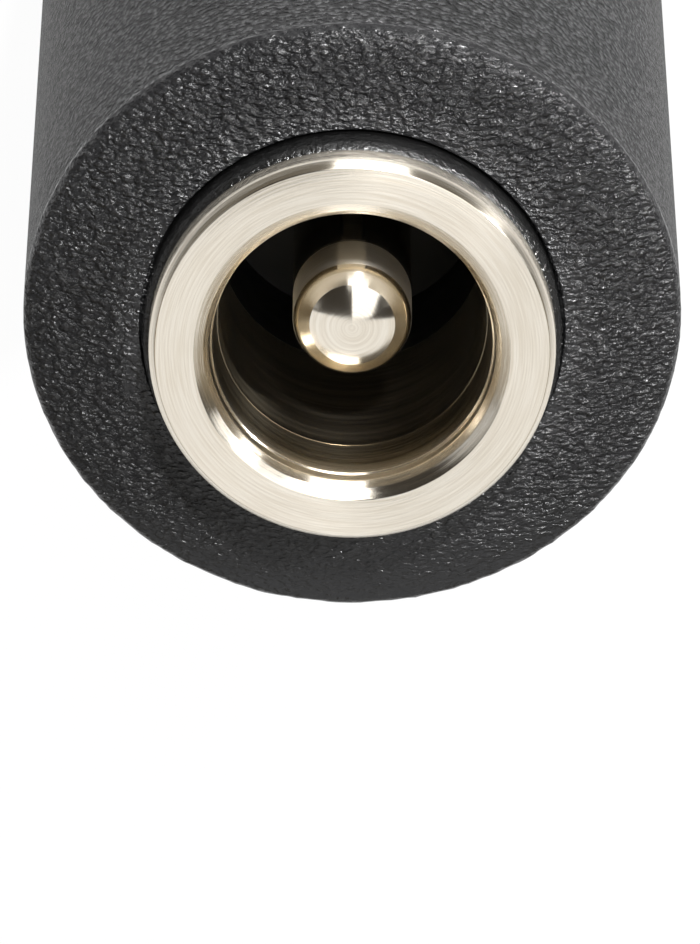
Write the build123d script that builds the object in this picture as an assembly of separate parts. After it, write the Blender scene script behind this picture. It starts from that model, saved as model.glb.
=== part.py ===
from build123d import *
import math
import os

# Socket, sized for a plug with a 5.5 mm barrel and a 2.5 mm bore
pin_d = 2.5
pin_recess = 1.39
socket_d = 5.65
socket_depth = 9.6
metal_bore_depth = 6.7
floor_thickness = 2.0

# Pin tip: a low turned cone inside a wide rounding
tip_round = 0.34
tip_cone_height = 0.2
neck_d = 1.5
rivet_d = 2.2
rivet_height = 0.35

# Turned sleeve, whose front end is the bright ring at the mouth
ring_d = 8.5
ring_height = 0.72
ring_chamfer = 0.14
ring_chamfer_height = 0.2
mouth_d = 5.85
mouth_depth = 1.84
lead_in_d = 6.6
lead_in_step_d = 6.22
lead_in_step_depth = 0.11
lead_in_depth = 0.56
insulator_wall = 0.65
sleeve_wall = 0.45
sleeve_past_floor = 0.8
push_fit = 0.02

# Grip on the sleeve's shank: a band of straight teeth and a lock groove
teeth = 32
tooth_depth = 0.12
tooth_band = 2.2
tooth_band_below_ring = 3.4
groove_width = 0.6
groove_depth = 0.15
groove_below_band = 0.9

# Housing, whose front end is the slim collar under the ring
collar_d = 8.75
collar_edge = 0.12
collar_sunk = 1.4
housing_wall = 1.25
housing_past_insulator = 4.0
key_groove_width = 1.4
key_groove_depth = 0.5
key_groove_count = 2
key_groove_pitch = 3.6
key_groove_inset = 1.8

# Outer moulding: an oval body with a low convex end face
body_width = 13.8
body_thickness = 13.05
body_length = 28.0
rim_to_ring_face = 1.95
face_slope = 15.5
rim_chamfer = 0.16
rear_chamfer = 0.6

# Way in for the cable at the rear end
cable_bore_d = 4.6
cable_bore_depth = 9.0

# Spring contact that presses on the plug's barrel
spring_thickness = 0.25
spring_width = 1.6
spring_side_gap = 0.05
spring_top_gap = 0.25
spring_tip_depth = 3.4
spring_nose_depth = 5.2
spring_root_depth = 8.6
spring_reach = 0.35
spring_bend = 0.6

# Solder tags
tag_thickness = 0.4
tag_width = 1.6
tag_eye_d = 3.0
tag_reach = 2.4
tag_length = 6.0
tag_bend = 0.5
wire_hole_d = 0.8
wire_hole_inset = 1.0

# Rib on the insulator between the tags
rib_width = 4.4
rib_thickness = 0.6
rib_height = 3.2
rib_to_spring = 0.45

# Inner mould that seals the tags
mould_shoulder_height = 2.6

# Heights above the rear face, worked out from the sizes above
ring_face = body_length + rim_to_ring_face
collar_top = ring_face - ring_height
face_rise = (body_thickness - collar_d) / 2 * math.tan(math.radians(face_slope))
face_top = body_length + face_rise
step_top = ring_face - mouth_depth
insulator_top = ring_face - metal_bore_depth
floor_top = ring_face - socket_depth
insulator_bottom = floor_top - floor_thickness
sleeve_bottom = floor_top - sleeve_past_floor
housing_bottom = insulator_bottom - housing_past_insulator
key_top = face_top - collar_sunk
pin_tip = ring_face - pin_recess
tag_bottom = insulator_bottom - tag_thickness

# Radii worked out from the sizes above
pin_r = pin_d / 2
neck_r = neck_d / 2
socket_r = socket_d / 2
insulator_r = socket_r + insulator_wall
sleeve_bore_r = insulator_r + push_fit
shank_r = sleeve_bore_r + sleeve_wall
ring_r = ring_d / 2
collar_r = collar_d / 2
housing_r = shank_r + housing_wall
cable_r = cable_bore_d / 2
spring_back = math.sqrt(insulator_r**2 - (spring_width / 2) ** 2)
spring_line = spring_back - spring_thickness / 2
spring_front = spring_back - spring_thickness


def turned(*points):
    """Solid of revolution round Z from corners given as (radius, height)."""
    outline = Polyline(*[(r, 0, z) for r, z in points], close=True)
    return revolve(make_face(outline), Axis.Z)


def round_bar(radius, bottom, top):
    """Upright cylinder on the socket's axis between two heights."""
    return turned((0, bottom), (radius, bottom), (radius, top), (0, top))


def sleeve():
    """Nickel plated brass sleeve: its ring, stepped lead-in, bore and shank."""
    blank = turned(
        (lead_in_d / 2, ring_face),
        (ring_r - ring_chamfer, ring_face),
        (ring_r, ring_face - ring_chamfer_height),
        (ring_r, collar_top),
        (shank_r, collar_top),
        (shank_r, sleeve_bottom),
        (sleeve_bore_r, sleeve_bottom),
        (sleeve_bore_r, insulator_top),
        (socket_r, insulator_top),
        (socket_r, step_top),
        (mouth_d / 2, step_top),
        (mouth_d / 2, ring_face - lead_in_depth),
        (lead_in_step_d / 2, ring_face - lead_in_step_depth),
    )
    return blank - sleeve_teeth() - sleeve_groove() - spring_slot(neck_r, insulator_top, spring_back)


def sleeve_teeth():
    """V grooves between the straight teeth on the shank."""
    band_top = collar_top - tooth_band_below_ring
    half_pitch = math.pi * shank_r / teeth
    vee = Polyline(
        (shank_r - tooth_depth, 0),
        (shank_r + tooth_depth, half_pitch),
        (shank_r + tooth_depth, -half_pitch),
        close=True,
    )
    cutter = Pos(0, 0, band_top - tooth_band) * extrude(make_face(vee), amount=tooth_band)
    return [Rot(0, 0, 360 * i / teeth) * cutter for i in range(teeth)]


def sleeve_groove():
    """Ring groove below the teeth that locks the sleeve in the housing."""
    top = collar_top - tooth_band_below_ring - tooth_band - groove_below_band
    bottom = top - groove_width
    inner = shank_r - groove_depth
    outer = shank_r + groove_depth
    return turned((inner, bottom), (outer, bottom), (outer, top), (inner, top))


def insulator():
    """Black insulator: a cup at the bottom of the socket, slotted for the spring contact."""
    cup = turned(
        (socket_r, insulator_top),
        (insulator_r, insulator_top),
        (insulator_r, sleeve_bottom),
        (shank_r, sleeve_bottom),
        (shank_r, insulator_bottom),
        (neck_r, insulator_bottom),
        (neck_r, floor_top),
        (socket_r, floor_top),
    )
    behind = spring_slot(spring_front, insulator_bottom, shank_r)
    inside = spring_slot(neck_r, floor_top, shank_r)
    return cup + tag_rib() - behind - inside


def spring_slot(front, bottom, back):
    """Cutter for the spring's slot, between a front and a back plane, open at its lower end."""
    top = ring_face - spring_tip_depth + spring_top_gap
    slot = Box(
        spring_width + 2 * spring_side_gap,
        back - front,
        top - bottom,
        align=(Align.CENTER, Align.MIN, Align.MIN),
    )
    return Pos(0, front, bottom) * slot


def tag_rib():
    """Rib behind the floor that keeps the two tags apart."""
    rib = Box(rib_width, rib_thickness, rib_height, align=(Align.CENTER, Align.MAX, Align.MAX))
    return Pos(0, spring_front - rib_to_spring, insulator_bottom) * rib


def pin():
    """Turned centre pin, riveted over behind the floor and the pin tag."""
    rim_z = pin_tip - tip_cone_height
    rivet_bottom = tag_bottom - rivet_height
    rod = turned(
        (0, rim_z),
        (pin_r, rim_z),
        (pin_r, floor_top),
        (neck_r, floor_top),
        (neck_r, tag_bottom),
        (rivet_d / 2, tag_bottom),
        (neck_r, rivet_bottom),
        (0, rivet_bottom),
    )
    rod = fillet(rod.edges().filter_by(GeomType.CIRCLE).sort_by(Axis.Z)[-1], tip_round)
    return rod + turned((0, rim_z), (pin_r - tip_round, rim_z), (0, pin_tip))


def wire_hole(height):
    """Cutter for the hole that a wire is hooked through, across the tag."""
    bar = Cylinder(wire_hole_d / 2, 4 * shank_r, rotation=(90, 0, 0))
    return Pos(0, 0, height) * bar


def spring_contact():
    """Leaf spring on the far wall of the socket, with its own tag behind the floor."""
    nose_y = socket_r - spring_reach + spring_thickness / 2
    tag_end = insulator_bottom - tag_length
    centre_line = FilletPolyline(
        (0, spring_line, tag_end),
        (0, spring_line, ring_face - spring_root_depth),
        (0, nose_y, ring_face - spring_nose_depth),
        (0, spring_line, ring_face - spring_tip_depth),
        radius=spring_bend,
    )
    section = Plane(origin=(0, spring_line, tag_end)) * Rectangle(spring_width, spring_thickness)
    leaf = sweep(section, path=centre_line)
    return leaf - wire_hole(tag_end + wire_hole_inset)


def pin_tag():
    """Solder tag under the pin's riveted end, bent back beside the cable's way in."""
    eye = Circle(tag_eye_d / 2) - Circle(neck_r)
    arm = Pos(0, -tag_reach / 2) * Rectangle(tag_width, tag_reach)
    flat = Pos(0, 0, tag_bottom) * extrude(eye + (arm - Circle(neck_r)), amount=tag_thickness)
    leg = Box(
        tag_width,
        tag_thickness,
        tag_length,
        align=(Align.CENTER, Align.MIN, Align.MAX),
    )
    bent = flat + Pos(0, -tag_reach, insulator_bottom) * leg
    outer_bend = bent.edges().filter_by(Axis.X).sort_by(lambda e: e.center().Z - e.center().Y)[-1]
    bent = fillet(outer_bend, tag_bend)
    return bent - wire_hole(insulator_bottom - tag_length + wire_hole_inset)


def housing_blank():
    """Outer form of the housing: the collar, then a wider barrel with key grooves."""
    blank = turned(
        (0, collar_top),
        (collar_r - collar_edge, collar_top),
        (collar_r, collar_top - collar_edge),
        (collar_r, key_top),
        (housing_r, key_top),
        (housing_r, housing_bottom),
        (0, housing_bottom),
    )
    for i in range(key_groove_count):
        top = key_top - key_groove_inset - i * key_groove_pitch
        bottom = top - key_groove_width
        inner = housing_r - key_groove_depth
        outer = housing_r + key_groove_depth
        blank -= turned((inner, bottom), (outer, bottom), (outer, top), (inner, top))
    return blank


def housing():
    """Hard black housing that carries the sleeve and the insulator."""
    return housing_blank() - round_bar(shank_r, housing_bottom, collar_top)


def inner_mould_blank():
    """Outer form of the inner mould: a plug in the housing and a tapered shoulder."""
    return turned(
        (0, insulator_bottom),
        (shank_r, insulator_bottom),
        (shank_r, housing_bottom),
        (housing_r, housing_bottom),
        (housing_r, housing_bottom - mould_shoulder_height),
        (cable_r, cable_bore_depth),
        (0, cable_bore_depth),
    )


def inner_mould(*inserts):
    """Pale moulding poured round the tags behind the insulator."""
    block = inner_mould_blank()
    for insert in inserts:
        block -= insert
    return block


def oval(width, thickness):
    """Oval outline of four tangent arcs, with an ellipse's curvature at its two ends."""
    a = width / 2
    b = thickness / 2
    end_r = b**2 / a
    toward = Vector((a + b) / a, (a + 2 * b) / (2 * b)).normalized()
    x = a - end_r + end_r * toward.X
    y = end_r * toward.Y
    arcs = [
        ThreePointArc((x, -y), (a, 0), (x, y)),
        ThreePointArc((x, y), (0, b), (-x, y)),
        ThreePointArc((-x, y), (-a, 0), (-x, -y)),
        ThreePointArc((-x, -y), (0, -b), (x, -y)),
    ]
    return make_face(arcs)


def body():
    """Outer moulding: an oval body with a low convex end face and the cable's way in."""
    outline = oval(body_width, body_thickness)
    barrel = extrude(outline, amount=body_length)
    face = extrude(Pos(0, 0, body_length) * outline, amount=face_rise, taper=90 - face_slope)
    shell = barrel + face
    rim = shell.edges().filter_by_position(Axis.Z, body_length, body_length)
    shell = chamfer(rim, rim_chamfer)
    rear = shell.edges().filter_by_position(Axis.Z, 0, 0)
    shell = chamfer(rear, rear_chamfer)
    return shell - housing_blank() - inner_mould_blank() - round_bar(cable_r, 0, cable_bore_depth)


def build():
    """Every piece of the jack, by name."""
    pieces = {
        "barrel_sleeve": sleeve(),
        "insulator": insulator(),
        "centre_pin": pin(),
        "spring_contact": spring_contact(),
        "pin_tag": pin_tag(),
        "collar_housing": housing(),
        "outer_body": body(),
    }
    inserts = [pieces[name] for name in ("insulator", "centre_pin", "spring_contact", "pin_tag")]
    pieces["inner_mould"] = inner_mould(*inserts)
    return pieces


os.makedirs("parts", exist_ok=True)
for name, shape in build().items():
    export_step(shape, f"parts/{name}.step")
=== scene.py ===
import bmesh
import bpy
import math
import random
from mathutils import Euler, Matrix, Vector


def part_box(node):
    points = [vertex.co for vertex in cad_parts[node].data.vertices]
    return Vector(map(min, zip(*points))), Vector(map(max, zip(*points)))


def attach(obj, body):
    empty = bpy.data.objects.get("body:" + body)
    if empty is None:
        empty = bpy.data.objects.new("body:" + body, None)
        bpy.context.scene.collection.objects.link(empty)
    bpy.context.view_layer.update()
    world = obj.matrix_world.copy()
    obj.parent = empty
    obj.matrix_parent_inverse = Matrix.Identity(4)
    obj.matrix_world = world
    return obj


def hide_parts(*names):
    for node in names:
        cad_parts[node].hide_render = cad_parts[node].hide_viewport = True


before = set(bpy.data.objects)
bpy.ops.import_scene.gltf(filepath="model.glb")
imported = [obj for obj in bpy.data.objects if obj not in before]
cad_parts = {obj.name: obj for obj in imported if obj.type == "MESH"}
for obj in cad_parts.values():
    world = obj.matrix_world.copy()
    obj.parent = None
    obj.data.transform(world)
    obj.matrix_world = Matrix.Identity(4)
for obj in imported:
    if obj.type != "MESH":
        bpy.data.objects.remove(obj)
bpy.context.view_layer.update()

MM = 0.001


def node_box(name):
    """Lowest and highest corner of a CAD node, in millimetres."""
    low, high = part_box(name)
    return Vector(low) / MM, Vector(high) / MM


# Places in millimetres, read from the frame
sleeve_low, sleeve_high = node_box("barrel_sleeve")
pin_low, pin_high = node_box("centre_pin")
housing_low, housing_high = node_box("collar_housing")
mould_low, mould_high = node_box("inner_mould")
insulator_high = node_box("insulator")[1]
body_high = node_box("outer_body")[1]
spring_high = node_box("spring_contact")[1]

ring_r = sleeve_high.x
ring_face = sleeve_high.z
sleeve_bottom = sleeve_low.z
pin_r = pin_high.x
pin_tip = pin_high.z
rivet_bottom = pin_low.z
shank_r = insulator_high.x
insulator_top = insulator_high.z
insulator_bottom = mould_high.z
housing_r = housing_high.x
collar_top = housing_high.z
housing_bottom = housing_low.z
face_top = body_high.z
half_width = body_high.x
half_thickness = body_high.y
cable_bore_top = mould_low.z

# Ring and lead-in, in millimetres
CHAMFER = 0.14
CHAMFER_HEIGHT = 0.2
LEAD_IN_R = 3.32
STEP_R = 3.11
STEP_DEPTH = 0.125
FLARE_R = 2.99
FLARE_DEPTH = 0.28
LEAD_IN_DEPTH = 0.56
LIP = 0.035
MOUTH_R = 2.925
MOUTH_DEPTH = 1.84
SOCKET_R = 2.825
STEP_LEDGE = 0.004
MARKS_DROP = 0.1
DULL_FADE = 0.4

# Roundings of the ring's turned edges, in millimetres
FACE_EDGE = 0.02
SIDE_EDGE = 0.03
STEP_EDGE = 0.015
LIP_EDGE = 0.01

# Shank of the sleeve, in millimetres
SLEEVE_WALL = 0.45
TEETH = 32
TOOTH_DEPTH = 0.12
TOOTH_END = 0.01
TOOTH_BAND = 2.2
BAND_DROP = 3.4
GROOVE_DROP = 0.9
GROOVE_WIDTH = 0.6
GROOVE_DEPTH = 0.15
SLOT_SIDE_GAP = 0.05
SLOT_TOP_GAP = 0.2

# Pin, in millimetres
TIP_DOME_R = 0.895
TIP_DOME_HEIGHT = 0.2
TIP_DOME_STEPS = 10
TIP_BEVEL = math.radians(38)
TIP_ROUND = 0.17
NOSE_HEIGHT = 0.6
TOOL_MARKS = 1.3
NECK_R = 0.75
RIVET_R = 1.1
RIVET_HEIGHT = 0.35
FLOOR_THICKNESS = 2.0

# Housing and body, in millimetres
COLLAR_R = 4.375
COLLAR_SUNK = 1.4
COLLAR_ROUND = 0.2
COLLAR_GAP = 0.06
COLLAR_GAP_DEPTH = 0.4
COLLAR_GAP_EDGE = 0.05
KEY_GROOVE_WIDTH = 1.4
KEY_GROOVE_DEPTH = 0.5
KEY_GROOVE_PITCH = 3.6
KEY_GROOVE_INSET = 1.8
KEY_GROOVES = 2
CABLE_R = 2.3
MOULD_SHOULDER = 2.6
FACE_SLOPE = math.radians(15.5)
RIM_ROUND = 0.19
REAR_CHAMFER = 0.6
REAR_ROUND = 0.25

# Moulded edges, in millimetres
DENT = 0.04
DENT_BAND = 1.2 * RIM_ROUND
DENT_SEED = 7

rim = face_top - (half_thickness - COLLAR_R) * math.tan(FACE_SLOPE)
key_top = face_top - COLLAR_SUNK
floor_top = insulator_bottom + FLOOR_THICKNESS
sleeve_bore_r = shank_r - SLEEVE_WALL

# Steps in a full turn, and how close a vertex lies to the place that it is looked for at
STEPS = 256
NEAR = 0.002 * MM


def linear(code):
    """Linear colour of an sRGB hex code."""
    parts = [int(code[i : i + 2], 16) / 255 for i in (0, 2, 4)]
    return [c / 12.92 if c <= 0.04045 else ((c + 0.055) / 1.055) ** 2.4 for c in parts] + [1.0]


def add(tree, kind, inputs=(), **settings):
    """Adds a node, with its settings, its values and its links.

    Inputs go by name in a dict, or by place in a list. A node among them stands for its result.
    """
    made = tree.nodes.new(kind)
    for key, value in settings.items():
        setattr(made, key, value)
    sockets = made.inputs
    if not isinstance(inputs, dict):
        sockets = [socket for socket in made.inputs if socket.enabled]
        inputs = dict(enumerate(inputs))
    for key, value in inputs.items():
        if isinstance(value, bpy.types.Node):
            value = next(result for result in value.outputs if result.enabled)
        if isinstance(value, bpy.types.NodeSocket):
            tree.links.new(value, sockets[key])
        else:
            sockets[key].default_value = value
    return made


def region(tree, *edges):
    """Mask of a region: a product of soft edges, each a value, where its edge starts and where it is full."""
    mask = 1.0
    for edge in edges:
        soft = add(tree, "ShaderNodeMapRange", edge, interpolation_type="SMOOTHSTEP")
        mask = add(tree, "ShaderNodeMath", [mask, soft], operation="MULTIPLY")
    return mask


def measure(tree):
    """A point's place on its piece, its three coordinates, and its distance from the socket's axis."""
    place = add(tree, "ShaderNodeTexCoord").outputs["Object"]
    x, y, z = add(tree, "ShaderNodeSeparateXYZ", [place]).outputs
    flat = add(tree, "ShaderNodeCombineXYZ", [x, y])
    radius = add(tree, "ShaderNodeVectorMath", [flat], operation="LENGTH")
    return place, x, y, z, radius


def new_material(name):
    """An empty node material, and its node tree."""
    material = bpy.data.materials.new(name)
    material.use_nodes = True
    tree = material.node_tree
    tree.nodes.clear()
    return material, tree


def turned_nickel(name, roughness, line_depth, marks_low, marks_top, marks_r, marks_wear, dull_top, dull_low):
    """Nickel plated brass, turned: a warm pale metal, whose fine rings draw each light out across them.

    Tool marks are deep between marks_low and marks_top and outside marks_r, and rougher there by marks_wear.
    Inside the mouth the plate turns dull and brown from dull_top down to dull_low.
    """
    # Rings and passes of the tool per millimetre. Real rings are finer, and these are as coarse as they need
    # to be to show.
    rings = 26
    passes = 4
    # Heights count for more than radii, and the pattern hardly changes round the axis
    height_share = 1.6
    round_share = 0.03
    # Depth of a pass against a ring's, and of both on marked and on plain metal
    pass_depth = 2.0
    mark_depth = 4.0
    plain_depth = 0.8
    # Shares of the roughness at the two values that most of a noise lies between
    noise_low, noise_high = 0.3, 0.7
    smoothest, roughest = 0.85, 1.2
    # Values of the rings at which the pale crests start and are full
    crest_start, crest_full = 0.25, 0.75
    # Millimetres over which the marks and the mouth's dull plate fade
    low_fade = 0.15
    top_fade = 0.1
    side_fade = 0.05
    mouth_start, mouth_full = 0.04, 0.005

    material, tree = new_material(name)
    place, x, y, z, radius = measure(tree)
    along = add(tree, "ShaderNodeMath", [z, height_share, radius], operation="MULTIPLY_ADD")
    feed = add(tree, "ShaderNodeCombineXYZ", [along, x, y])
    drawn = add(tree, "ShaderNodeMapping", {"Vector": feed, "Scale": (1.0, round_share, round_share)})
    lines = add(
        tree, "ShaderNodeTexNoise", {"Vector": drawn, "Scale": rings / MM, "Detail": 3.0, "Roughness": 0.6}
    )
    patches = add(tree, "ShaderNodeTexNoise", {"Vector": drawn, "Scale": passes / MM, "Detail": 2.0})
    marks = region(
        tree,
        (z, (marks_low - low_fade) * MM, (marks_low + low_fade) * MM),
        (z, (marks_top + top_fade) * MM, marks_top * MM),
        (radius, (marks_r - side_fade) * MM, marks_r * MM),
    )
    inside = region(
        tree,
        (radius, (MOUTH_R + mouth_start) * MM, (MOUTH_R + mouth_full) * MM),
        (z, dull_top * MM, dull_low * MM),
    )
    relief = add(tree, "ShaderNodeMath", [patches, pass_depth, lines], operation="MULTIPLY_ADD")
    depth = add(tree, "ShaderNodeMath", [marks, mark_depth, plain_depth], operation="MULTIPLY_ADD")
    height = add(tree, "ShaderNodeMath", [relief, depth], operation="MULTIPLY")
    bump = add(tree, "ShaderNodeBump", {"Height": height, "Strength": 1.0, "Distance": line_depth * MM})
    worn = add(
        tree,
        "ShaderNodeMapRange",
        [patches, noise_low, noise_high, roughness * smoothest, roughness * roughest],
    )
    rough = add(tree, "ShaderNodeMath", [marks, marks_wear, worn], operation="MULTIPLY_ADD")
    crests = region(tree, (lines, crest_start, crest_full))
    bright = add(tree, "ShaderNodeMix", [crests, linear("e4dac9"), linear("f3ecdf")], data_type="RGBA")
    colour = add(tree, "ShaderNodeMix", [inside, bright, linear("beb29b")], data_type="RGBA")
    around = add(tree, "ShaderNodeVectorMath", [(0, 0, 1), place], operation="CROSS_PRODUCT")
    surface = add(
        tree,
        "ShaderNodeBsdfPrincipled",
        {
            "Base Color": colour,
            "Metallic": 1.0,
            "Roughness": rough,
            "Anisotropic": 0.85,
            "Anisotropic Rotation": 0.25,
            "Tangent": around,
            "Normal": bump,
        },
    )
    add(tree, "ShaderNodeOutputMaterial", {"Surface": surface})
    return material


def smooth_nylon(name, colour, roughness, skin_size, skin_depth):
    """Hard moulded nylon: black, with a gloss that a faint uneven skin breaks up. Sizes in millimetres."""
    waves_per_mm = 1.2
    smoothest, roughest = 0.8, 1.3

    material, tree = new_material(name)
    place = add(tree, "ShaderNodeTexCoord").outputs["Object"]
    skin = add(tree, "ShaderNodeTexNoise", {"Vector": place, "Scale": 1 / (skin_size * MM), "Detail": 3.0})
    waves = add(tree, "ShaderNodeTexNoise", {"Vector": place, "Scale": waves_per_mm / MM, "Detail": 2.0})
    rough = add(
        tree,
        "ShaderNodeMapRange",
        {"Value": waves, "To Min": roughness * smoothest, "To Max": roughness * roughest},
    )
    bump = add(tree, "ShaderNodeBump", {"Height": skin, "Distance": skin_depth * MM})
    surface = add(
        tree, "ShaderNodeBsdfPrincipled", {"Base Color": linear(colour), "Roughness": rough, "Normal": bump}
    )
    add(tree, "ShaderNodeOutputMaterial", {"Surface": surface})
    return material


def grained_pvc():
    """Moulded PVC with a leather grain: black, with small glossy bumps between narrow creases.

    The grain is shallow beside the collar, on the rim and toward the lower edge. On the side it is deep, and
    a dull skin scatters half of the light there, pale on the ridges and black in the creases. That black is
    painted shade in the creases.
    """
    # Bumps, pores and folds per millimetre. The bumps are longer along X and Z than along Y.
    bumps = 10.5
    pores = 18
    folds = 2.5
    bump_shape = (0.48, 1.0, 0.62)
    # The rows of bumps wander by this much, in millimetres, this many times per millimetre
    wander = 0.16
    wanders = 5
    # Heights of a bump and of a pore against a fold's, and of the whole grain in millimetres
    bump_height = -1.1
    pore_height = 1.1
    grain_depth = 0.09
    # Shares of that on the smoothest part of the face, on the rim, and added on the side
    least_depth = 0.3
    rim_depth = 0.45
    side_depth = 1.2
    # Where the grain changes, in millimetres from the collar's side and from the rim
    collar_start, collar_full = -0.4, 0.9
    side_start, side_full = -0.2, -0.45
    face_full = 0.2
    # Distance from a bump's middle, as the pattern gives it, at which its crease starts and is full
    crease_start, crease_full = 0.15, 0.62
    # Shine of the bumps, less in the creases and toward the lower edge
    bump_shine = 0.64
    crease_shine = -0.4
    lower_shine = 0.6
    skin_share = 0.5

    material, tree = new_material("grained moulded PVC")
    place, _, y, z, radius = measure(tree)
    drift = add(tree, "ShaderNodeTexNoise", {"Vector": place, "Scale": wanders / MM, "Detail": 2.0})
    centred = add(
        tree, "ShaderNodeVectorMath", [drift.outputs["Color"], (0.5, 0.5, 0.5)], operation="SUBTRACT"
    )
    shift = add(tree, "ShaderNodeVectorMath", [centred, wander * MM], operation="SCALE")
    bent = add(tree, "ShaderNodeVectorMath", [place, shift], operation="ADD")
    shaped = add(tree, "ShaderNodeMapping", {"Vector": bent, "Scale": bump_shape})
    cells = add(
        tree,
        "ShaderNodeTexVoronoi",
        {"Vector": shaped, "Scale": bumps / MM, "Smoothness": 0.3},
        feature="SMOOTH_F1",
    )
    pitted = add(tree, "ShaderNodeTexNoise", {"Vector": shaped, "Scale": pores / MM, "Detail": 2.0})
    folded = add(tree, "ShaderNodeTexNoise", {"Vector": place, "Scale": folds / MM, "Detail": 3.0})
    uneven = add(tree, "ShaderNodeMath", [pitted, pore_height, folded], operation="MULTIPLY_ADD")
    grain = add(tree, "ShaderNodeMath", [cells, bump_height, uneven], operation="MULTIPLY_ADD")

    off_collar = (radius, (COLLAR_R + collar_start) * MM, (COLLAR_R + collar_full) * MM)
    off_lower_edge = (y, -half_thickness * MM, -half_thickness / 2 * MM)
    crisp = region(tree, off_collar, off_lower_edge)
    side = region(tree, (z, (rim + side_start) * MM, (rim + side_full) * MM))
    face = region(tree, (z, rim * MM, (rim + face_full) * MM))
    on_face = add(tree, "ShaderNodeMapRange", {"Value": crisp, "To Min": least_depth, "To Max": 1.0})
    off_rim = add(tree, "ShaderNodeMath", [side, face], operation="ADD")
    rim_share = add(tree, "ShaderNodeMapRange", {"Value": off_rim, "To Min": rim_depth, "To Max": 1.0})
    deep = add(tree, "ShaderNodeMath", [side, side_depth, on_face], operation="MULTIPLY_ADD")
    relief = add(tree, "ShaderNodeMath", [deep, rim_share], operation="MULTIPLY")
    height = add(tree, "ShaderNodeMath", [grain, relief], operation="MULTIPLY")
    bump = add(tree, "ShaderNodeBump", {"Height": height, "Strength": 1.0, "Distance": grain_depth * MM})

    creases = region(tree, (cells, crease_start, crease_full))
    dulled = add(tree, "ShaderNodeMath", [creases, crisp], operation="MULTIPLY")
    shine = add(tree, "ShaderNodeMath", [dulled, crease_shine, bump_shine], operation="MULTIPLY_ADD")
    upper = region(tree, off_lower_edge)
    shone = add(tree, "ShaderNodeMapRange", {"Value": upper, "To Min": lower_shine, "To Max": 1.0})
    gloss = add(tree, "ShaderNodeMath", [shine, shone], operation="MULTIPLY")
    surface = add(
        tree,
        "ShaderNodeBsdfPrincipled",
        {"Base Color": linear("161617"), "Roughness": 0.24, "Specular IOR Level": gloss, "Normal": bump},
    )
    # Painted shade: the dull skin's colour is pale on the ridges and black in the creases
    painted_crease_shade = add(tree, "ShaderNodeMix", [creases, linear("4c4c4d"), linear("0c0c0c")], data_type="RGBA")
    crease_shaded_skin = add(tree, "ShaderNodeBsdfDiffuse", {"Color": painted_crease_shade, "Normal": bump})
    share = add(tree, "ShaderNodeMath", [side, skin_share], operation="MULTIPLY")
    mixed = add(tree, "ShaderNodeMixShader", [share, surface, crease_shaded_skin])
    add(tree, "ShaderNodeOutputMaterial", {"Surface": mixed})
    return material


def plated_strip(name, dark, pale, roughness):
    """Rolled strip, plated: a pale metal with the long fine lines of the rolls."""
    # Lines per millimetre, and their depth in millimetres. They change little along the strip.
    lines_per_mm = 20
    line_depth = 0.005
    along_share = 0.08

    material, tree = new_material(name)
    place = add(tree, "ShaderNodeTexCoord").outputs["Object"]
    drawn = add(tree, "ShaderNodeMapping", {"Vector": place, "Scale": (1.0, 1.0, along_share)})
    lines = add(tree, "ShaderNodeTexNoise", {"Vector": drawn, "Scale": lines_per_mm / MM, "Detail": 3.0})
    bump = add(tree, "ShaderNodeBump", {"Height": lines, "Strength": 0.3, "Distance": line_depth * MM})
    tone = add(tree, "ShaderNodeMix", [lines, linear(dark), linear(pale)], data_type="RGBA")
    surface = add(
        tree,
        "ShaderNodeBsdfPrincipled",
        {"Base Color": tone, "Metallic": 1.0, "Roughness": roughness, "Normal": bump},
    )
    add(tree, "ShaderNodeOutputMaterial", {"Surface": surface})
    return material


def natural_polyethylene():
    """Natural polyethylene, moulded: milky, waxy and a little cloudy."""
    clouds_per_mm = 0.8
    cloud_depth = 0.05

    material, tree = new_material("natural polyethylene")
    place = add(tree, "ShaderNodeTexCoord").outputs["Object"]
    clouds = add(tree, "ShaderNodeTexNoise", {"Vector": place, "Scale": clouds_per_mm / MM, "Detail": 4.0})
    bump = add(tree, "ShaderNodeBump", {"Height": clouds, "Strength": 0.3, "Distance": cloud_depth * MM})
    tone = add(tree, "ShaderNodeMix", [clouds, linear("d9d5c6"), linear("c7c2b0")], data_type="RGBA")
    surface = add(tree, "ShaderNodeBsdfPrincipled", {"Base Color": tone, "Roughness": 0.42, "Normal": bump})
    add(tree, "ShaderNodeOutputMaterial", {"Surface": surface})
    return material


def finish_piece(bm, name, material, replaced, sharp=35):
    """Turns a bmesh into a smooth shaded piece that rides on the body and stands for a CAD node.

    sharp is the turn in degrees from which an edge stays crisp.
    """
    mesh = bpy.data.meshes.new(name)
    bm.to_mesh(mesh)
    bm.free()
    mesh.polygons.foreach_set("use_smooth", [True] * len(mesh.polygons))
    mesh.set_sharp_from_angle(angle=math.radians(sharp))
    mesh.materials.append(material)
    piece = bpy.data.objects.new(name, mesh)
    bpy.context.scene.collection.objects.link(piece)
    evened = piece.modifiers.new("even shading", "WEIGHTED_NORMAL")
    evened.keep_sharp = True
    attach(piece, "root")
    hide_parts(replaced)


def across(point):
    """Distance of a point from the socket's axis."""
    return math.hypot(point.x, point.y)


def at_height(vert, height):
    """Whether a vertex lies at a height given in millimetres."""
    return abs(vert.co.z - height * MM) < NEAR


def at_radius(vert, radius):
    """Whether a vertex lies at a distance from the axis given in millimetres."""
    return abs(across(vert.co) - radius * MM) < NEAR


def round_edges(bm, edges, rounding, segments):
    """Rounds edges with an even arc, its size in millimetres."""
    bmesh.ops.bevel(
        bm,
        geom=edges,
        offset=rounding * MM,
        offset_type="OFFSET",
        segments=segments,
        profile=0.5,
        affect="EDGES",
        clamp_overlap=True,
        material=-1,
    )


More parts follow.
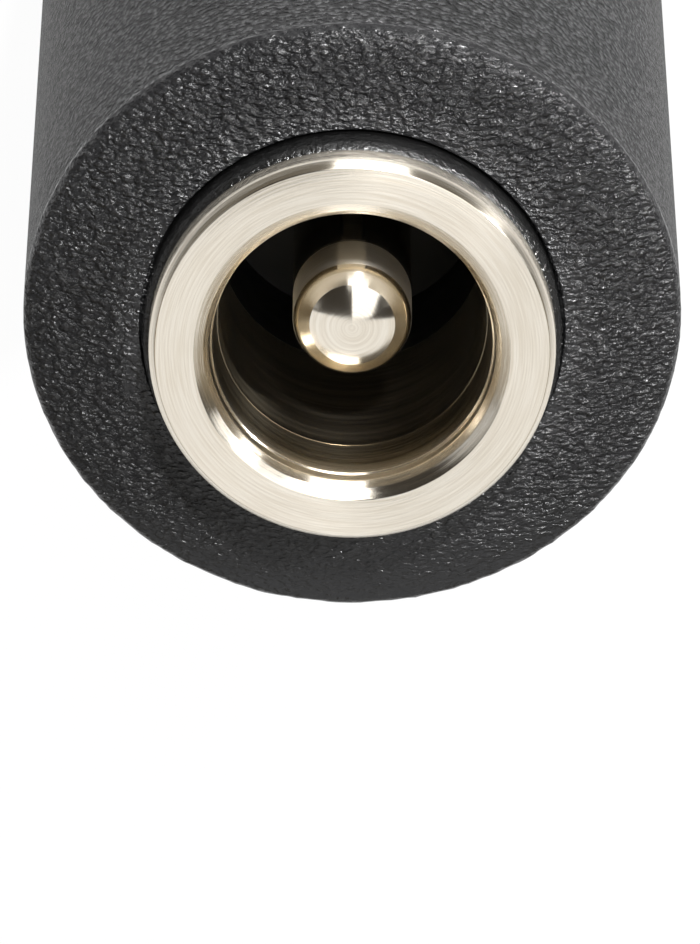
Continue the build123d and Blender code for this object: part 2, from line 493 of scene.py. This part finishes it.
def soften(bm, corners, segments=4):
    """Rounds the ring of edges at each (radius, height, rounding) corner of a turned form."""
    for radius, height, rounding in corners:
        ring = [e for e in bm.edges if all(at_height(v, height) and at_radius(v, radius) for v in e.verts)]
        round_edges(bm, ring, rounding, segments)


def roughen(bm, low, high, inner):
    """An uneven moulded edge: shallow random dents between two heights, outside a radius."""
    chance = random.Random(DENT_SEED)
    dents = [chance.random() * DENT for _ in range(STEPS)]
    for v in bm.verts:
        radius = across(v.co)
        height = v.co.z / MM
        if low < height < high and radius > inner * MM:
            column = round(math.atan2(v.co.y, v.co.x) / math.tau * STEPS) % STEPS
            share = 1 - abs(2 * (height - low) / (high - low) - 1)
            kept = 1 - dents[column] * share * MM / radius
            v.co.x *= kept
            v.co.y *= kept


def turn(profile, closed=True):
    """A turned form: a profile of (radius, height) in millimetres, spun a full turn round Z."""
    bm = bmesh.new()
    points = [bm.verts.new((radius * MM, 0, height * MM)) for radius, height in profile]
    nexts = points[1:] + points[:1] if closed else points[1:]
    edges = [bm.edges.new(pair) for pair in zip(points, nexts)]
    bmesh.ops.spin(
        bm,
        geom=points + edges,
        cent=(0, 0, 0),
        axis=(0, 0, 1),
        angle=math.tau,
        steps=STEPS,
        use_merge=True,
    )
    bmesh.ops.remove_doubles(bm, verts=bm.verts, dist=1e-7)
    bmesh.ops.recalc_face_normals(bm, faces=bm.faces)
    return bm


def cut_teeth(bm, top, bottom):
    """Straight teeth on the shank: valleys pushed into the band between two heights."""
    kept = 1 - TOOTH_DEPTH / shank_r
    pitch = math.tau / TEETH
    # Share of the pitch within which a column of vertices is a valley
    valley = 0.05
    for v in bm.verts:
        if bottom * MM < v.co.z < top * MM and across(v.co) > (shank_r - GROOVE_DEPTH) * MM:
            turns = math.atan2(v.co.y, v.co.x) / pitch
            if abs(turns - round(turns)) < valley:
                v.co.x *= kept
                v.co.y *= kept


def cut_spring_slot(bm, slot_top):
    """Slot for the spring in the far wall of the bore, with a flat back, open at its lower end."""
    half_angle = math.asin((spring_high.x + SLOT_SIDE_GAP) / SOCKET_R)

    def beside_spring(face):
        middle = face.calc_center_median()
        return math.atan2(abs(middle.x), middle.y) < half_angle

    def on_slot_wall(vert):
        return at_radius(vert, SOCKET_R) and vert.co.z < slot_top * MM + NEAR

    wall = [f for f in bm.faces if beside_spring(f) and all(on_slot_wall(v) for v in f.verts)]
    grown = bmesh.ops.extrude_face_region(bm, geom=wall)["geom"]
    for v in grown:
        if isinstance(v, bmesh.types.BMVert):
            v.co.y = spring_high.y * MM
    lower_faces = [f for f in bm.faces if all(at_height(v, insulator_top) for v in f.verts)]
    bmesh.ops.delete(bm, geom=[f for f in lower_faces if beside_spring(f)], context="FACES")
    bmesh.ops.holes_fill(bm, edges=[e for e in bm.edges if e.is_boundary], sides=0)
    bmesh.ops.recalc_face_normals(bm, faces=bm.faces)


def make_sleeve():
    """Turned sleeve: the bright ring, its flared lead-in, the bore, and the shank with its grip."""
    band_top = collar_top - BAND_DROP
    band_bottom = band_top - TOOTH_BAND
    groove_top = band_bottom - GROOVE_DROP
    groove_bottom = groove_top - GROOVE_WIDTH
    step_top = ring_face - MOUTH_DEPTH
    slot_top = spring_high.z + SLOT_TOP_GAP
    bm = turn(
        [
            (LEAD_IN_R, ring_face),
            (ring_r - CHAMFER, ring_face),
            (ring_r, ring_face - CHAMFER_HEIGHT),
            (ring_r, collar_top),
            (shank_r, collar_top),
            (shank_r, band_top),
            (shank_r, band_top - TOOTH_END),
            (shank_r, band_bottom + TOOTH_END),
            (shank_r, band_bottom),
            (shank_r, groove_top),
            (shank_r - GROOVE_DEPTH, groove_top),
            (shank_r - GROOVE_DEPTH, groove_bottom),
            (shank_r, groove_bottom),
            (shank_r, sleeve_bottom),
            (sleeve_bore_r, sleeve_bottom),
            (sleeve_bore_r, insulator_top),
            (SOCKET_R, insulator_top),
            (SOCKET_R, slot_top),
            (SOCKET_R, step_top),
            (SOCKET_R + STEP_LEDGE, step_top),
            (MOUTH_R, ring_face - LEAD_IN_DEPTH),
            (MOUTH_R + LIP, ring_face - LEAD_IN_DEPTH + LIP),
            (FLARE_R, ring_face - FLARE_DEPTH),
            (STEP_R, ring_face - STEP_DEPTH),
        ]
    )
    cut_teeth(bm, band_top - TOOTH_END / 2, band_bottom + TOOTH_END / 2)
    cut_spring_slot(bm, slot_top)
    soften(
        bm,
        [
            (LEAD_IN_R, ring_face, FACE_EDGE),
            (ring_r - CHAMFER, ring_face, FACE_EDGE),
            (ring_r, ring_face - CHAMFER_HEIGHT, SIDE_EDGE),
            (ring_r, collar_top, SIDE_EDGE),
            (MOUTH_R, ring_face - LEAD_IN_DEPTH, LIP_EDGE),
            (FLARE_R, ring_face - FLARE_DEPTH, FACE_EDGE),
            (STEP_R, ring_face - STEP_DEPTH, STEP_EDGE),
        ],
    )
    return bm


def make_pin():
    """Turned pin: a low dome with a crisp edge, a bevelled rim, and a tail riveted over."""
    dome_edge = pin_tip - TIP_DOME_HEIGHT
    dome = (TIP_DOME_R**2 + TIP_DOME_HEIGHT**2) / (2 * TIP_DOME_HEIGHT)
    slope = math.asin(TIP_DOME_R / dome)
    bevel_end = dome_edge - (pin_r - TIP_DOME_R) * math.tan(TIP_BEVEL)
    tag_bottom = rivet_bottom + RIVET_HEIGHT
    profile = []
    for i in range(TIP_DOME_STEPS + 1):
        angle = slope * i / TIP_DOME_STEPS
        profile.append((dome * math.sin(angle), pin_tip - dome + dome * math.cos(angle)))
    profile += [
        (pin_r, bevel_end),
        (pin_r, floor_top),
        (NECK_R, floor_top),
        (NECK_R, tag_bottom),
        (RIVET_R, tag_bottom),
        (NECK_R, rivet_bottom),
        (0, rivet_bottom),
    ]
    bm = turn(profile, closed=False)
    soften(bm, [(pin_r, bevel_end, TIP_ROUND)], segments=10)
    return bm


def make_housing():
    """Housing: the slim collar under the ring, and the wide part with its key grooves."""
    groove_r = housing_r - KEY_GROOVE_DEPTH
    profile = [(shank_r, collar_top), (COLLAR_R, collar_top), (COLLAR_R, key_top), (housing_r, key_top)]
    for i in range(KEY_GROOVES):
        top = key_top - KEY_GROOVE_INSET - i * KEY_GROOVE_PITCH
        bottom = top - KEY_GROOVE_WIDTH
        profile += [(housing_r, top), (groove_r, top), (groove_r, bottom), (housing_r, bottom)]
    profile += [(housing_r, housing_bottom), (shank_r, housing_bottom)]
    bm = turn(profile)
    soften(bm, [(COLLAR_R, collar_top, COLLAR_ROUND)], segments=8)
    roughen(bm, collar_top - COLLAR_ROUND, collar_top + DENT, ring_r)
    return bm


def make_body():
    """Outer moulding: an oval skin from the cable's way in to the collar, and its inner bed."""
    shoulder_bottom = housing_bottom - MOULD_SHOULDER
    rear_x = half_width - REAR_CHAMFER
    rear_y = half_thickness - REAR_CHAMFER
    gap_r = COLLAR_R + COLLAR_GAP
    gap_bottom = face_top - COLLAR_GAP_DEPTH
    # Half width, half thickness and height of each section
    sections = [
        (CABLE_R, CABLE_R, 0),
        (rear_x, rear_y, 0),
        (half_width, half_thickness, REAR_CHAMFER),
        (half_width, half_thickness, rim),
        (gap_r, gap_r, face_top),
        (gap_r, gap_r, gap_bottom),
        (COLLAR_R, COLLAR_R, gap_bottom),
        (COLLAR_R, COLLAR_R, key_top),
        (housing_r, housing_r, key_top),
        (housing_r, housing_r, shoulder_bottom),
        (CABLE_R, CABLE_R, cable_bore_top),
    ]
    bm = bmesh.new()
    bmesh.ops.create_circle(bm, cap_ends=False, segments=STEPS, radius=MM)
    first = ring = list(bm.edges)
    bmesh.ops.scale(bm, vec=(CABLE_R, CABLE_R, 1), verts=bm.verts)
    for old, new in zip(sections, sections[1:]):
        grown = bmesh.ops.extrude_edge_only(bm, edges=ring)["geom"]
        moved = [g for g in grown if isinstance(g, bmesh.types.BMVert)]
        ring = [g for g in grown if isinstance(g, bmesh.types.BMEdge)]
        bmesh.ops.scale(bm, vec=(new[0] / old[0], new[1] / old[1], 1), verts=moved)
        bmesh.ops.translate(bm, vec=(0, 0, (new[2] - old[2]) * MM), verts=moved)
    bmesh.ops.bridge_loops(bm, edges=first + ring)
    bmesh.ops.recalc_face_normals(bm, faces=bm.faces)
    soften(bm, [(gap_r, face_top, COLLAR_GAP_EDGE)])

    def on_outer_edge(vert, height):
        return at_height(vert, height) and across(vert.co) > housing_r * MM + NEAR

    for height, rounding, segments in (rim, RIM_ROUND, 8), (REAR_CHAMFER, REAR_ROUND, 5), (0, REAR_ROUND, 5):
        edges = [e for e in bm.edges if all(on_outer_edge(v, height) for v in e.verts)]
        round_edges(bm, edges, rounding, segments)
    roughen(bm, rim - DENT_BAND, rim + DENT, housing_r)
    return bm


def place_camera():
    """Camera of the photo: a long lens, 22 degrees off the socket's axis."""
    tilt = math.radians(22.17)
    distance = 268.7
    below_axis = 2.48
    beside_axis = 0.047
    focal_pixels = 12917
    long_side_pixels = 944
    sensor = 36.0
    back = Vector((0, math.sin(tilt), math.cos(tilt)))
    up = Vector((0, math.cos(tilt), -math.sin(tilt)))
    aim = Vector((0, 0, ring_face)) - below_axis * up - beside_axis * Vector((1, 0, 0))
    data = bpy.data.cameras.new("photo camera")
    data.sensor_width = sensor
    data.lens = focal_pixels * sensor / long_side_pixels
    data.clip_start = 0.01
    data.clip_end = 5
    camera = bpy.data.objects.new("photo camera", data)
    camera.location = (aim + back * distance) * MM
    camera.rotation_euler = Euler((-tilt, 0, 0))
    bpy.context.scene.collection.objects.link(camera)
    bpy.context.scene.camera = camera


def area_light(name, place, side, watts):
    """A square white lamp, its place and side in millimetres, aimed at the ring."""
    data = bpy.data.lights.new(name, "AREA")
    data.shape = "SQUARE"
    data.size = side * MM
    data.energy = watts
    lamp = bpy.data.objects.new(name, data)
    lamp.location = Vector(place) * MM
    toward = Vector((0, 0, ring_face)) - Vector(place)
    lamp.rotation_euler = toward.to_track_quat("-Z", "Y").to_euler()
    bpy.context.scene.collection.objects.link(lamp)


def light_room():
    """Studio room, painted by direction: brown walls, dim overhead, white panels. Small lamps add glints."""
    world = bpy.data.worlds.new("studio")
    bpy.context.scene.world = world
    world.use_nodes = True
    tree = world.node_tree
    tree.nodes.clear()
    toward = add(tree, "ShaderNodeTexCoord").outputs["Generated"]
    x, y, z = add(tree, "ShaderNodeSeparateXYZ", [toward]).outputs
    rear = region(tree, (y, -0.2, 0.1))
    walls = add(tree, "ShaderNodeMix", [rear, linear("8f846f"), linear("5f594e")], data_type="RGBA")
    low = region(tree, (z, 0.68, 0.5))
    colour = add(tree, "ShaderNodeMix", [low, linear("3a3733"), walls], data_type="RGBA")

    # Panels, each with its soft edges and its level. A slanted edge adds a share of one direction to another.
    aside = add(tree, "ShaderNodeMath", [x], operation="ABSOLUTE")
    front_back = add(tree, "ShaderNodeMath", [x, 0.1, y], operation="MULTIPLY_ADD")
    front_foot = add(tree, "ShaderNodeMath", [aside, -0.2, z], operation="MULTIPLY_ADD")
    strip_side = add(tree, "ShaderNodeMath", [y, -0.35, x], operation="MULTIPLY_ADD")
    behind_side = add(tree, "ShaderNodeMath", [y, 0.15, x], operation="MULTIPLY_ADD")
    left = [(x, -0.58, -0.70), (y, -0.08, 0.0), (z, 0.40, 0.5)]
    front = [(front_back, -0.14, -0.18), (aside, 0.80, 0.74), (front_foot, 0.20, 0.26)]
    doorway = [(aside, 0.14, 0.08), (y, -0.85, -0.9), (z, 0.34, 0.26)]
    strip = [(x, -0.01, 0.01), (strip_side, 0.46, 0.40), (y, -0.20, -0.12), (y, 0.56, 0.50), (z, 0.2, 0.4)]
    behind = [(x, -0.14, -0.08), (behind_side, 0.54, 0.47), (y, 0.46, 0.52), (z, -0.08, 0.0)]
    right = [(x, 0.57, 0.63), (y, 0.02, 0.06), (y, 0.48, 0.42), (z, 0.40, 0.46), (z, 0.74, 0.70)]
    for edges, level in (left, 0.6), (front, 0.94), (doorway, 1.3), (strip, 1.6), (behind, 4.0), (right, 1.6):
        white = [level, level, level, 1.0]
        colour = add(tree, "ShaderNodeMix", [region(tree, *edges), colour, white], data_type="RGBA")
    room = add(tree, "ShaderNodeBackground", {"Color": colour})
    add(tree, "ShaderNodeOutputWorld", {"Surface": room})
    area_light("key lamp", (30, 150, 190), side=14, watts=0.6)
    area_light("side lamp", (170, 90, 130), side=14, watts=0.65)


def lay_floor():
    """White table top, grey away from the jack. It is seen as plain white, and the jack's shadow is faint."""
    # Metres from the jack beyond which the table top is grey, and within which it is white. The grey far off
    # is painted shade, which the metal shows in its reflections
    grey_from = 0.22
    white_to = 0.08
    # How much of that plain white lies over the shadow
    plain_share = 0.95

    bm = bmesh.new()
    bmesh.ops.create_grid(bm, x_segments=1, y_segments=1, size=1.0)
    mesh = bpy.data.meshes.new("table_top")
    bm.to_mesh(mesh)
    bm.free()
    material, tree = new_material("white table top")
    place = add(tree, "ShaderNodeTexCoord").outputs["Object"]
    away = add(tree, "ShaderNodeVectorMath", [place], operation="LENGTH")
    near = region(tree, (away, grey_from, white_to))
    rays = add(tree, "ShaderNodeLightPath").outputs
    seen = add(tree, "ShaderNodeMath", [rays["Is Camera Ray"], rays["Is Glossy Ray"]], operation="ADD")
    passed = add(tree, "ShaderNodeMath", [seen, rays["Is Transmission Ray"]], operation="ADD")
    shown = add(tree, "ShaderNodeMath", [passed, 1.0], operation="MINIMUM")
    share = add(tree, "ShaderNodeMath", [shown, plain_share], operation="MULTIPLY")
    matt = add(tree, "ShaderNodeBsdfDiffuse", {"Color": linear("f0f0f0")})
    # Painted shade: the table top greys away from the jack
    tone = add(tree, "ShaderNodeMix", [near, linear("7c7c7c"), linear("ffffff")], data_type="RGBA")
    lit = add(tree, "ShaderNodeEmission", {"Color": tone, "Strength": 1.0})
    top = add(tree, "ShaderNodeMixShader", [share, matt, lit])
    add(tree, "ShaderNodeOutputMaterial", {"Surface": top})
    mesh.materials.append(material)
    floor = bpy.data.objects.new("table_top", mesh)
    bpy.context.scene.collection.objects.link(floor)


def dress(node, material):
    """Gives a CAD node its material."""
    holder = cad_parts[node]
    holder.data.materials.clear()
    holder.data.materials.append(material)


place_camera()
light_room()
lay_floor()

# Where the tool marks and the dull plate start and end, in millimetres
lead_in_end = ring_face - LEAD_IN_DEPTH
nose_end = pin_tip - NOSE_HEIGHT
marks_end = nose_end - TOOL_MARKS
nickel = turned_nickel(
    "turned nickel plate",
    roughness=0.17,
    line_depth=0.004,
    marks_low=collar_top,
    marks_top=ring_face - CHAMFER_HEIGHT - MARKS_DROP,
    marks_r=ring_r - CHAMFER,
    marks_wear=0.06,
    dull_top=lead_in_end,
    dull_low=lead_in_end - DULL_FADE,
)
pin_nickel = turned_nickel(
    "turned nickel pin",
    roughness=0.12,
    line_depth=0.001,
    marks_low=marks_end,
    marks_top=nose_end,
    marks_r=NECK_R,
    marks_wear=0.2,
    dull_top=marks_end,
    dull_low=marks_end - TOOL_MARKS,
)
collar_nylon = smooth_nylon("black nylon collar", "0c0c0c", roughness=0.17, skin_size=0.1, skin_depth=0.05)
# The cup is blacker than black nylon is: the extra black is painted shade deep in the socket
cup_nylon = smooth_nylon("black nylon with painted shade", "020202", roughness=0.6, skin_size=0.4, skin_depth=0.004)

finish_piece(make_sleeve(), "turned_sleeve", nickel, "barrel_sleeve")
finish_piece(make_pin(), "turned_pin", pin_nickel, "centre_pin", sharp=12)
finish_piece(make_housing(), "collar_and_housing", collar_nylon, "collar_housing")
finish_piece(make_body(), "grained_body", grained_pvc(), "outer_body")
dress("insulator", cup_nylon)
dress("spring_contact", plated_strip("nickel plated spring bronze", "d8cfbb", "ece4d2", roughness=0.28))
dress("pin_tag", plated_strip("tinned brass strip", "cfcdc6", "e6e4dd", roughness=0.34))
dress("inner_mould", natural_polyethylene())

bpy.context.scene.view_settings.view_transform = "Standard"
